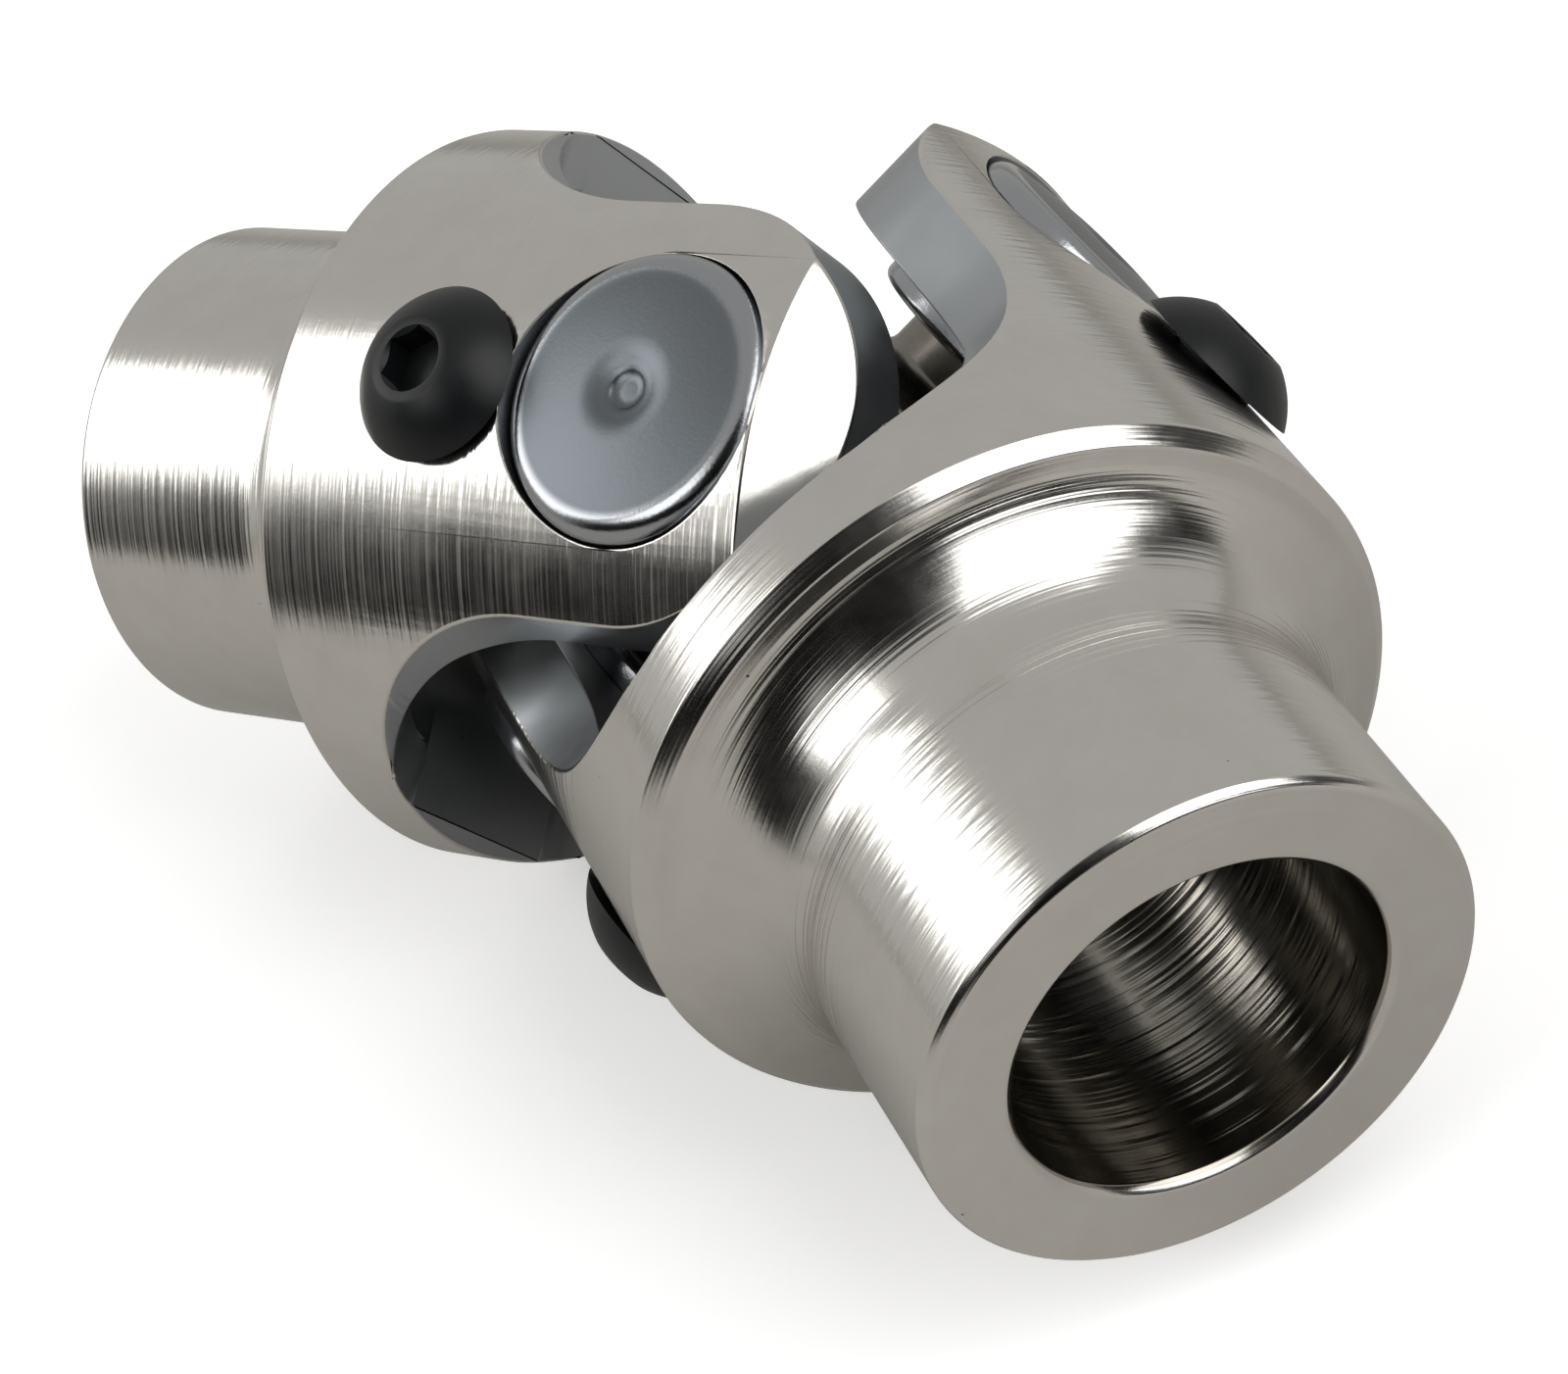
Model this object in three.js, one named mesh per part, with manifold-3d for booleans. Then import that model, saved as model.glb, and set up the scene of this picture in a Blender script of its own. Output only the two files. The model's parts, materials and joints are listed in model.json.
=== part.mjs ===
// Single needle-bearing steering universal joint, lying bent on a table.
// Two turned steel yokes carry a four-armed cross. Each arm of the cross turns in a
// needle bearing cup that is pushed into a yoke ear from outside and held by a screw head.
// Millimetres, +Z up, origin on the table under the middle of the object's box.
import * as THREE from 'three';
import { mergeVertices } from 'three/addons/utils/BufferGeometryUtils.js';
import Module from 'manifold-3d';

const wasm = await Module();
wasm.setup();

// ---- Driving dimensions ----
const INCH = 25.4;
const DEG = Math.PI / 180;             // radians

const BORE_R = 0.75 * INCH / 2;        // smooth shaft bore, both ends
const BORE_CHAMFER = 0.45;
const BODY_R = 20.2;                   // turned outside of flange and ears
const FLANGE_CHAMFER = 0.8;
const HUB_CHAMFER = 0.4;
const FILLET_R = 7.0;                  // concave turned corner between hub and flange face
const FILLET_END = 29.4;               // where it runs out on the hub
const FILLET_STEPS = 6;

// Distances run along each yoke's axis, from the centre of the cross to the hub's end.
const HUB_R = 14.2;
const HUB_END = 41.5;
const FLANGE_FACE = 22.9;
const THROAT_FLOOR = 18.1;             // reached along the yoke's axis
const THROAT_CORNER_R = 7.0;           // the slot's round bottom corners
const THROAT_CORNER_STEPS = 8;
const DISH_R = 17.0;                   // turned hollow in the throat floor
const DISH_TOP_R = 13.0;
const DISH_FLOOR = 19.7;
const DISH_HALF_WIDTH = 9.0;           // as wide as the other yoke's ears need
const DISH_START = 15.0;

const EAR_HALF_WIDTH = 11.1;           // milled flanks
const EAR_INNER = 12.83;               // flat inside faces, from the yoke's axis
const EAR_TIP = 11.1;                  // round end of the ear, about the cup
const TIP_CHAMFER_START = 7.75;        // 45 degree turned cone on the ear's end
const RELIEF_R = 13.8;                 // side cutter that blends flank into flange
const RELIEF_START = 5.5;
const RELIEF_SWEEP = 72;               // degrees
const RELIEF_STEPS = 8;
const TIP_STEPS = 12;

const CUP_R = 7.55;
const CUP_FIT = 0.1;                   // modelled ring gap of the pressed cup
const CUP_TOP = 19.95;                 // edge of the end face, which is slightly domed
const CUP_MOUTH = 11.3;
const CUP_FLAT_R = 6.2;
const CUP_CROWN = 0.5;
const CUP_CROWN_STEPS = 3;
const CUP_RIM = 19.5;                  // where the rounded edge meets the wall
const CUP_SHOULDER = [0.45, 0.12];     // inward and down, a point on that rounded edge
const CUP_MOUTH_CHAMFER = 0.5;
const RACE_R = 6.55;                   // hardened inside of the cup
const CUP_FLOOR = 18.3;
const DIMPLE_R = 0.9;                  // lathe centre mark
const DIMPLE_DEPTH = 0.25;

const TRUNNION_R = 4.8;
const TRUNNION_END = 18.1;
const SHOULDER_R = 6.6;
const SHOULDER_END = 8.6;
const SHOULDER_CHAMFER = 1.2;
const ROOT_FILLET = 0.6;               // where a trunnion meets its shoulder
const GREASE_R = 1.4;
const GREASE_DEPTH = 9.0;              // drilled in from each arm's end
const END_CHAMFER = 0.6;

const NEEDLE_R = 0.8;
const NEEDLE_COUNT = 22;
const NEEDLE_PITCH_R = 5.66;
const NEEDLE_WEB = 0.15;               // half thickness of the ring that joins the needles
const NEEDLE_FROM = 13.9;
const NEEDLE_TO = 18.0;
const NEEDLE_SAMPLES = 4;

const WASHER = { inner: 4.95, outer: 6.4, from: 13.2, to: 13.7 };
const SEAL = { inner: 4.9, outer: 6.4, from: 11.6, to: 13.0, lip: 0.5, lipStand: 0.1 };

const SCREW_AT = 11.8;                 // along the yoke, beside the cup
const SCREW_SEAT = 20.4;
const SCREW_HEAD_R = 4.7;
const SCREW_HEAD_H = 2.65;
const SCREW_SHANK_R = 2.4;
const SCREW_TIP = 13.5;
const SCREW_TIP_CHAMFER = 0.4;
const SCREW_HOLE_R = 2.6;
const DOME_R = 5.6;                    // the button head's sphere, before it is widened
const DOME_FROM = 31.5;                // degrees up from the sphere's middle
const DOME_TO = 66;
const DOME_STEPS = 5;
const HEX_ACROSS = 3.1;
const HEX_DEPTH = 1.7;

const FAR_BEND = 36.97;                // far yoke about its own cups
const NEAR_BEND = 11.62;               // near yoke about its own cups
// Which way is up, in the cross's own frame, when the bent joint lies on its two flanges.
const TABLE_UP = [0.87153, 0.42577, 0.24322];

const BODY_SEGMENTS = 64;
const CUP_SEGMENTS = 40;
const SMALL_SEGMENTS = 24;
const CUT = 60;                        // longer than anything that is cut

const ALONG = new THREE.Vector3(1, 0, 0);
const ACROSS = new THREE.Vector3(0, 1, 0);
const UP = new THREE.Vector3(0, 0, 1);

// ---- Finishes: colour, roughness, metalness ----
function finish(color, roughness, metalness) {
  return () => new THREE.MeshStandardMaterial({ color, roughness, metalness });
}

const nickelPlate = finish(0xb9b6af, 0.25, 1.0);
const groundSteel = finish(0x8d9095, 0.3, 1.0);
const cupSteel = finish(0x8f9296, 0.35, 1.0);
const blackOxide = finish(0x1b1c20, 0.5, 0.8);
const sealRubber = finish(0x17181a, 0.8, 0.0);

// ---- Solids ----
function toSolid(geometry) {
  geometry.deleteAttribute('normal');
  geometry.deleteAttribute('uv');
  const merged = mergeVertices(geometry, 1e-4);
  const mesh = new wasm.Mesh({
    numProp: 3,
    vertProperties: new Float32Array(merged.attributes.position.array),
    triVerts: new Uint32Array(merged.index.array),
  });
  return new wasm.Manifold(mesh);
}

function toGeometry(solid) {
  const mesh = solid.getMesh();
  const geometry = new THREE.BufferGeometry();
  const positions = new Float32Array(mesh.vertProperties);
  geometry.setAttribute('position', new THREE.BufferAttribute(positions, 3));
  geometry.setIndex(new THREE.BufferAttribute(new Uint32Array(mesh.triVerts), 1));
  geometry.computeVertexNormals();
  return geometry;
}

// A closed loop of [radius, height] points is turned about Z. The loop is made to run
// so that its faces point out, and to start where it leaves the axis if it touches it.
function turned(loop, segments) {
  let area = 0; // twice the loop's signed area
  loop.forEach(([r, h], i) => {
    const [rNext, hNext] = loop[(i + 1) % loop.length];
    area += r * hNext - rNext * h;
  });
  const outline = area > 0 ? loop : [...loop].reverse();
  const radiusBefore = (i) => outline[(i + outline.length - 1) % outline.length][0];
  const onAxis = outline.findIndex(([r], i) => r === 0 && radiusBefore(i) === 0);
  const start = Math.max(onAxis, 0);
  const ordered = outline.map((_, i) => outline[(i + start) % outline.length]);
  const closed = onAxis >= 0 ? ordered : [...ordered, ordered[0]];
  const points = closed.map(([r, h]) => new THREE.Vector2(r, h));
  return toSolid(new THREE.LatheGeometry(points, segments).rotateX(Math.PI / 2));
}

function box(from, to) {
  const size = from.map((low, i) => to[i] - low);
  const geometry = new THREE.BoxGeometry(...size);
  geometry.translate(...from.map((low, i) => (low + to[i]) / 2));
  return toSolid(geometry);
}

// A round bar along X, the direction of a yoke's cups.
function barAlongX(radius, from, to, segments, along = 0) {
  const geometry = new THREE.CylinderGeometry(radius, radius, to - from, segments);
  geometry.rotateZ(Math.PI / 2);
  geometry.translate((from + to) / 2, 0, along);
  return toSolid(geometry);
}

// An outline in (across, along) is extruded right through the yoke in X.
function prismAlongX(outline, length) {
  const shape = new THREE.Shape(outline.map(([across, along]) => new THREE.Vector2(across, along)));
  const geometry = new THREE.ExtrudeGeometry(shape, { depth: length, bevelEnabled: false });
  geometry.translate(0, 0, -length / 2);
  // the outline's across goes to Y, its along to Z, and the depth to X
  geometry.applyMatrix4(new THREE.Matrix4().set(0, 0, 1, 0, 1, 0, 0, 0, 0, 1, 0, 0, 0, 0, 0, 1));
  return toSolid(geometry);
}

function rotated(solid, axis, angle) {
  return solid.transform(new THREE.Matrix4().makeRotationAxis(axis, angle).elements);
}

function arc(centre, radius, fromDeg, toDeg, steps) {
  return Array.from({ length: steps + 1 }, (_, i) => {
    const angle = (fromDeg + (toDeg - fromDeg) * i / steps) * DEG;
    return [centre[0] + radius * Math.cos(angle), centre[1] + radius * Math.sin(angle)];
  });
}

// ---- Yoke: Z runs from the cross to the hub, X through the two cups ----
function yokeBlank() {
  const reach = Math.asin((FILLET_END - FLANGE_FACE) / FILLET_R) / DEG;
  const fillet = arc([HUB_R + FILLET_R, FILLET_END], FILLET_R, 180 + reach, 180, FILLET_STEPS);
  return turned([
    [0, -EAR_TIP],
    [BODY_R + TIP_CHAMFER_START - EAR_TIP, -EAR_TIP],
    [BODY_R, -TIP_CHAMFER_START],
    [BODY_R, FLANGE_FACE - FLANGE_CHAMFER],
    [BODY_R - FLANGE_CHAMFER, FLANGE_FACE],
    ...fillet,
    [HUB_R, HUB_END - HUB_CHAMFER],
    [HUB_R - HUB_CHAMFER, HUB_END],
    [BORE_R + BORE_CHAMFER, HUB_END],
    [BORE_R, HUB_END - BORE_CHAMFER],
    [BORE_R, 0],
    [0, 0],
  ], BODY_SEGMENTS);
}

// What the milling cutters leave of the blank, seen along the cups.
function yokeSideOutline() {
  const reliefCentre = [EAR_HALF_WIDTH + RELIEF_R, RELIEF_START];
  const tip = arc([0, 0], EAR_HALF_WIDTH, 270, 360, TIP_STEPS);
  const relief = arc(reliefCentre, RELIEF_R, 180, 180 - RELIEF_SWEEP, RELIEF_STEPS);
  const right = [...tip, ...relief, [CUT, relief[RELIEF_STEPS][1]], [CUT, HUB_END + 1]];
  const left = right.map(([across, along]) => [-across, along]).reverse();
  return [...right, ...left.slice(0, -1)];
}

// The throat is a slot with round bottom corners, seen here along the slot.
function throatSlot() {
  const corner = [EAR_INNER - THROAT_CORNER_R, THROAT_FLOOR - THROAT_CORNER_R];
  const right = [[EAR_INNER, -CUT], ...arc(corner, THROAT_CORNER_R, 0, 90, THROAT_CORNER_STEPS)];
  const left = right.map(([across, along]) => [-across, along]).reverse();
  return rotated(prismAlongX([...right, ...left], CUT), UP, 90 * DEG);
}

// Room for the other yoke's ear tips at full bend.
function throatDish() {
  const dish = turned([[0, 0], [DISH_R, 0], [DISH_R, THROAT_FLOOR], [DISH_TOP_R, DISH_FLOOR],
    [0, DISH_FLOOR]], BODY_SEGMENTS);
  return dish.intersect(box([-DISH_HALF_WIDTH, -CUT, DISH_START], [DISH_HALF_WIDTH, CUT, CUT]));
}

function yoke() {
  let solid = yokeBlank().intersect(prismAlongX(yokeSideOutline(), CUT));
  solid = solid.subtract(throatSlot());
  solid = solid.subtract(throatDish());
  solid = solid.subtract(barAlongX(CUP_R + CUP_FIT, -CUT, CUT, CUP_SEGMENTS));
  return solid.subtract(barAlongX(SCREW_HOLE_R, -CUT, CUT, SMALL_SEGMENTS, SCREW_AT));
}

// ---- Pieces turned about an arm of the cross, drawn along Z ----
function bearingCup() {
  const crown = Array.from({ length: CUP_CROWN_STEPS + 1 }, (_, i) => {
    const radius = DIMPLE_R + (CUP_FLAT_R - DIMPLE_R) * i / CUP_CROWN_STEPS;
    return [radius, CUP_TOP + CUP_CROWN * (1 - (radius / CUP_FLAT_R) ** 2)];
  });
  return turned([
    [0, CUP_TOP + CUP_CROWN - DIMPLE_DEPTH],
    ...crown,
    [CUP_R - CUP_SHOULDER[0], CUP_TOP - CUP_SHOULDER[1]],
    [CUP_R, CUP_RIM],
    [CUP_R, CUP_MOUTH + CUP_MOUTH_CHAMFER],
    [CUP_R - CUP_MOUTH_CHAMFER, CUP_MOUTH],
    [RACE_R, CUP_MOUTH],
    [RACE_R, CUP_FLOOR],
    [0, CUP_FLOOR],
  ], CUP_SEGMENTS);
}

// The needles stand side by side, joined by a thin ring at their pitch circle.
function needleSet() {
  const count = NEEDLE_COUNT * NEEDLE_SAMPLES;
  const reach = (i) => {
    const fromNeedle = ((i % NEEDLE_SAMPLES) / NEEDLE_SAMPLES - 0.5) * 2 * Math.PI / NEEDLE_COUNT;
    const chord = NEEDLE_R ** 2 - (NEEDLE_PITCH_R * Math.sin(fromNeedle)) ** 2;
    return Math.max(Math.sqrt(Math.max(chord, 0)), NEEDLE_WEB);
  };
  const ring = (side) => Array.from({ length: count }, (_, i) => {
    const angle = i / count * 2 * Math.PI;
    const radius = NEEDLE_PITCH_R + side * reach(i);
    return new THREE.Vector2(radius * Math.cos(angle), radius * Math.sin(angle));
  });
  const shape = new THREE.Shape(ring(1));
  shape.holes.push(new THREE.Path(ring(-1)));
  const depth = NEEDLE_TO - NEEDLE_FROM;
  const geometry = new THREE.ExtrudeGeometry(shape, { depth, bevelEnabled: false });
  return toSolid(geometry.translate(0, 0, NEEDLE_FROM));
}

function retainingWasher() {
  const { inner, outer, from, to } = WASHER;
  return turned([[inner, from], [outer, from], [outer, to], [inner, to]], SMALL_SEGMENTS);
}

function lipSeal() {
  const { inner, outer, from, to, lip, lipStand } = SEAL;
  return turned([
    [inner, from],
    [inner + lip, from + lipStand],
    [outer, from + lipStand],
    [outer, to],
    [inner + lip, to],
    [inner, from + lip],
  ], SMALL_SEGMENTS);
}

// ---- Cross ----
function crossArm() {
  return turned([
    [0, 0],
    [SHOULDER_R, 0],
    [SHOULDER_R, SHOULDER_END - SHOULDER_CHAMFER],
    [TRUNNION_R + ROOT_FILLET, SHOULDER_END],
    [TRUNNION_R, SHOULDER_END + ROOT_FILLET],
    [TRUNNION_R, TRUNNION_END - END_CHAMFER],
    [TRUNNION_R - END_CHAMFER, TRUNNION_END],
    [GREASE_R, TRUNNION_END],
    [GREASE_R, TRUNNION_END - GREASE_DEPTH],
    [0, TRUNNION_END - GREASE_DEPTH - GREASE_R / 2],
  ], CUP_SEGMENTS);
}

function cross() {
  const arm = crossArm();
  const turns = [[ACROSS, 90], [ACROSS, -90], [ALONG, 90], [ALONG, -90]];
  const arms = turns.map(([axis, angle]) => rotated(arm, axis, angle * DEG));
  return arms.reduce((sum, next) => sum.add(next));
}

// ---- Screw: head up along Z, its axis through the origin ----
function buttonScrew() {
  const centre = [0, SCREW_SEAT + SCREW_HEAD_H - DOME_R];
  const dome = arc(centre, DOME_R, DOME_FROM, DOME_TO, DOME_STEPS);
  const scale = SCREW_HEAD_R / dome[0][0];
  const head = dome.map(([r, h]) => [r * scale, h]);
  const body = turned([
    [0, SCREW_TIP],
    [SCREW_SHANK_R - SCREW_TIP_CHAMFER, SCREW_TIP],
    [SCREW_SHANK_R, SCREW_TIP + SCREW_TIP_CHAMFER],
    [SCREW_SHANK_R, SCREW_SEAT],
    [SCREW_HEAD_R, SCREW_SEAT],
    ...head,
    [0, SCREW_SEAT + SCREW_HEAD_H],
  ], SMALL_SEGMENTS);
  const hexR = HEX_ACROSS / Math.sqrt(3);
  const hex = new THREE.CylinderGeometry(hexR, hexR, 2 * HEX_DEPTH, 6).rotateX(Math.PI / 2);
  hex.translate(0, 0, SCREW_SEAT + SCREW_HEAD_H);
  return body.subtract(toSolid(hex));
}

// ---- Assembly ----
function named(name, solid, material) {
  const mesh = new THREE.Mesh(toGeometry(solid), material());
  mesh.name = name;
  return mesh;
}

// Places what is drawn along Z onto one end of a group's X axis.
function ontoX(side) {
  const holder = new THREE.Group();
  holder.rotation.y = side * Math.PI / 2;
  return holder;
}

function yokeGroup(prefix) {
  const group = new THREE.Group();
  group.add(named(`${prefix}_yoke`, yoke(), nickelPlate));
  for (const [label, side] of [['a', 1], ['b', -1]]) {
    const holder = ontoX(side);
    holder.add(named(`${prefix}_cup_${label}`, bearingCup(), cupSteel));
    const screw = named(`${prefix}_cup_screw_${label}`, buttonScrew(), blackOxide);
    screw.position.x = -side * SCREW_AT;
    holder.add(screw);
    group.add(holder);
  }
  return group;
}

function bearingInternals(prefix) {
  const group = new THREE.Group();
  for (const [label, side] of [['a', 1], ['b', -1]]) {
    const holder = ontoX(side);
    holder.add(named(`${prefix}_needles_${label}`, needleSet(), groundSteel));
    holder.add(named(`${prefix}_needle_washer_${label}`, retainingWasher(), groundSteel));
    holder.add(named(`${prefix}_seal_${label}`, lipSeal(), sealRubber));
    group.add(holder);
  }
  return group;
}

// The cross lies in the XY plane of the joint: the far yoke's cups on X, the near yoke's on Y.
const joint = new THREE.Group();
joint.add(named('cross', cross(), groundSteel));

const farYoke = yokeGroup('far');
farYoke.rotation.x = FAR_BEND * DEG;
joint.add(farYoke);
joint.add(bearingInternals('far'));

const onY = new THREE.Group();
onY.rotation.z = 90 * DEG;
const nearYoke = yokeGroup('near');
nearYoke.rotation.x = (180 - NEAR_BEND) * DEG;
onY.add(nearYoke);
onY.add(bearingInternals('near'));
joint.add(onY);

// Direction of a yoke's hub, in the cross's frame.
const farHub = new THREE.Vector3(0, -Math.sin(FAR_BEND * DEG), Math.cos(FAR_BEND * DEG));
const nearHub = new THREE.Vector3(Math.sin(NEAR_BEND * DEG), 0, -Math.cos(NEAR_BEND * DEG));

// Lie the joint on the table with the line from hub to hub along X.
function layOnTable(group) {
  const up = new THREE.Vector3(...TABLE_UP).normalize();
  const along = nearHub.clone().sub(farHub).projectOnPlane(up).normalize();
  const across = up.clone().cross(along);
  const tableInJoint = new THREE.Matrix4().makeBasis(along, across, up);
  group.quaternion.setFromRotationMatrix(tableInJoint.transpose());
}

layOnTable(joint);
const model = new THREE.Group();
model.add(joint);
model.updateMatrixWorld(true);
const bounds = new THREE.Box3().setFromObject(model, true);
joint.position.set(
  -(bounds.min.x + bounds.max.x) / 2,
  -(bounds.min.y + bounds.max.y) / 2,
  -bounds.min.z,
);

export default model;
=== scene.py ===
# %% [markdown]
# # A steering universal joint, bent and lying on a table
# Two nickel-plated yokes are joined by a four-armed cross. Each arm of the cross turns in a
# needle bearing: a hardened cup, pressed into a yoke's ear, full of thin rollers. A black
# screw's head holds each cup in. This lesson loads the working model, which fixes every place
# and every axis, and then turns, mills and finishes each piece again as fine mesh.

# %% Load the frame
import json
import math

import bmesh
import bpy
from mathutils import Matrix, Vector


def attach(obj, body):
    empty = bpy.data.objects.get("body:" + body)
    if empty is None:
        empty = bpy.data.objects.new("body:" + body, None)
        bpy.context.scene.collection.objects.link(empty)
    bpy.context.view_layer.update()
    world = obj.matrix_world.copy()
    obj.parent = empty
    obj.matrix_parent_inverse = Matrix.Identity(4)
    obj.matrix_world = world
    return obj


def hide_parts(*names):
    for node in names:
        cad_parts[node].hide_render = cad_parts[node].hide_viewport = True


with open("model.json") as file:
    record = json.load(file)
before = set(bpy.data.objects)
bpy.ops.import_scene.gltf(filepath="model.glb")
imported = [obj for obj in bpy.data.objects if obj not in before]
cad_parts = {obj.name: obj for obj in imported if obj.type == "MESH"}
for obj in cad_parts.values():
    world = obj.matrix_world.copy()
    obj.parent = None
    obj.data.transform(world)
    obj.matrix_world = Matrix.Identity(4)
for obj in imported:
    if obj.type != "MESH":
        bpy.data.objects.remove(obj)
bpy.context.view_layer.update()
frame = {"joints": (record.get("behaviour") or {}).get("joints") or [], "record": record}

# %% [markdown]
# ## Where the pieces go
# Every piece here is round about some axis, so it is easiest to draw in its own straight frame
# in millimetres: Z along the yoke from the cross to the hub, X through its two cups. The frame
# of each yoke comes from the working model: its joint's axis is the line through its cups, and
# its hub face's direction is the line of its bore. One matrix then takes a drawn piece home.

# %% A seat for each yoke
MM = 0.001
joints = {joint["name"]: joint for joint in frame["joints"]}
mounts = {mount["name"]: mount for mount in frame["record"]["mounts"]}
cross_centre = Vector(joints["far_bend"]["pos_m"])


def yoke_seat(end):
    """Takes what is drawn in a yoke's own frame, in millimetres, to its place in metres."""
    through_cups = Vector(joints[f"{end}_bend"]["axis"]).normalized()
    to_hub = Vector(mounts[f"{end}_hub_face"]["axis"])
    to_hub = (to_hub - to_hub.project(through_cups)).normalized()
    turn_to = Matrix((through_cups, to_hub.cross(through_cups), to_hub)).transposed()
    return Matrix.Translation(cross_centre) @ turn_to.to_4x4() @ Matrix.Scale(MM, 4)


def on_cup_line(side, along=0.0):
    """Lays what is drawn along Z onto one end of the line through the cups."""
    return Matrix.Translation((0, 0, along)) @ Matrix.Rotation(side * math.pi / 2, 4, "Y")


seats = {end: yoke_seat(end) for end in ("near", "far")}
print("cross centre", [round(c / MM, 2) for c in cross_centre], "mm")

# %% [markdown]
# ## The camera and the studio
# The joint is looked down on from a little above forty degrees, through a lens about twice as
# long as a normal one, and the camera is rolled so that the bent joint runs across the frame.
# A bright metal shows nothing but what is round it, so the room matters as much as the metal:
# one large softbox to the right, two smaller ones to the left, and a dark room beyond the
# table, which gives the dark bands between the highlights.

# %% Camera
LOOK_AT = Vector((6.31, -0.97, 13.25)) * MM
CAMERA_DISTANCE = 198.56 * MM
CAMERA_AZIMUTH = math.radians(60.39)
CAMERA_ELEVATION = math.radians(41.19)
CAMERA_ROLL = math.radians(20.26)
LENS_MM = 86.46
SHIFT = (-0.0808, 0.0220)        # the view is a crop of a wider frame


def direction(azimuth, elevation):
    """The way to a lamp or the camera. Azimuth 0 is seen looking along +Y."""
    flat = math.cos(elevation)
    return Vector((math.sin(azimuth) * flat, -math.cos(azimuth) * flat, math.sin(elevation)))


def aimed(back, roll, place):
    """A matrix that looks against back, turned about it by roll."""
    level = Vector((0, 0, 1)).cross(back).normalized()
    up = back.cross(level) * math.cos(roll) + level * math.sin(roll)
    return Matrix.Translation(place) @ Matrix((up.cross(back), up, back)).transposed().to_4x4()


to_camera = direction(CAMERA_AZIMUTH, CAMERA_ELEVATION)
camera = bpy.data.objects.new("camera", bpy.data.cameras.new("camera"))
bpy.context.scene.collection.objects.link(camera)
camera.matrix_world = aimed(to_camera, CAMERA_ROLL, LOOK_AT + to_camera * CAMERA_DISTANCE)
camera.data.lens = LENS_MM
camera.data.shift_x, camera.data.shift_y = SHIFT
camera.data.clip_start = 0.01
bpy.context.scene.camera = camera
bpy.context.scene.view_settings.view_transform = "Standard"
print("camera at", [round(c / MM, 1) for c in camera.matrix_world.translation], "mm")

# %% [markdown]
# ## One small helper for every material
# A node tree is easier to read as code when adding a node is one line: its kind, what goes into
# its sockets, and its settings. A socket given as an input is linked; a number is set on it.
# Some nodes have several sockets of one name and use only one, so the helper takes that one.
# Colours are written as the sRGB hex that a paint chart gives, and turned to linear light.

# %% Material helpers
def live(sockets, name):
    """The one of a node's sockets that has this name, or place, and is in use."""
    if isinstance(name, int):
        return sockets[name]
    return next(s for s in sockets if s.name == name and s.enabled)


def add(tree, kind, inputs=None, **settings):
    """Adds one node to a tree, with its settings, values and links."""
    node = tree.nodes.new(kind)
    for name, value in settings.items():
        setattr(node, name, value)
    for name, value in (inputs or {}).items():
        if isinstance(value, bpy.types.NodeSocket):
            tree.links.new(value, live(node.inputs, name))
        else:
            live(node.inputs, name).default_value = value
    return node


def linear(hex_colour):
    """An sRGB hex colour as linear red, green, blue and alpha."""
    shares = [int(hex_colour[i:i + 2], 16) / 255 for i in (1, 3, 5)]
    light = [s / 12.92 if s <= 0.04045 else ((s + 0.055) / 1.055) ** 2.4 for s in shares]
    return (*light, 1.0)


def new_material(name):
    """An empty node material, and its tree."""
    material = bpy.data.materials.new(name)
    material.use_nodes = True
    material.node_tree.nodes.clear()
    return material, material.node_tree


# %% [markdown]
# ## Softboxes
# A softbox is a rectangle of even light. Its brightness is what the metal shows, so each lamp is
# given by that, and its power follows from its area. They aren't seen by the camera itself.

# %% Softboxes
SOFTBOX_DISTANCE = 0.55          # metres from the joint
softboxes = [
    # name, azimuth, elevation, roll, width and height as shares of the distance, brightness
    ("softbox_right", 112, 40, 20, 0.85, 0.95, 2.6),
    ("softbox_middle", -1, 42, 20, 0.52, 0.48, 2.2),
    ("softbox_left", -52, 33, 10, 0.56, 0.60, 2.2),
]

for name, azimuth, elevation, roll, width, height, brightness in softboxes:
    lamp = bpy.data.lights.new(name, "AREA")
    lamp.shape = "RECTANGLE"
    lamp.size = width * SOFTBOX_DISTANCE
    lamp.size_y = height * SOFTBOX_DISTANCE
    lamp.energy = brightness * math.pi * lamp.size * lamp.size_y
    softbox = bpy.data.objects.new(name, lamp)
    bpy.context.scene.collection.objects.link(softbox)
    way = direction(math.radians(azimuth), math.radians(elevation))
    softbox.matrix_world = aimed(way, math.radians(roll), LOOK_AT + way * SOFTBOX_DISTANCE)
    softbox.visible_camera = False
    print(name, f"{lamp.size:.2f} x {lamp.size_y:.2f} m, {lamp.energy:.2f} W")

# %% [markdown]
# ## The room
# White walls and ceiling give the metal its even light grey. The dark part of the room is a low
# band beyond the table on the camera's side, and the dark clothes of whoever holds the camera.
# The camera's own rays see a pale backdrop instead, as a photographer's paper roll would give.

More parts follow.
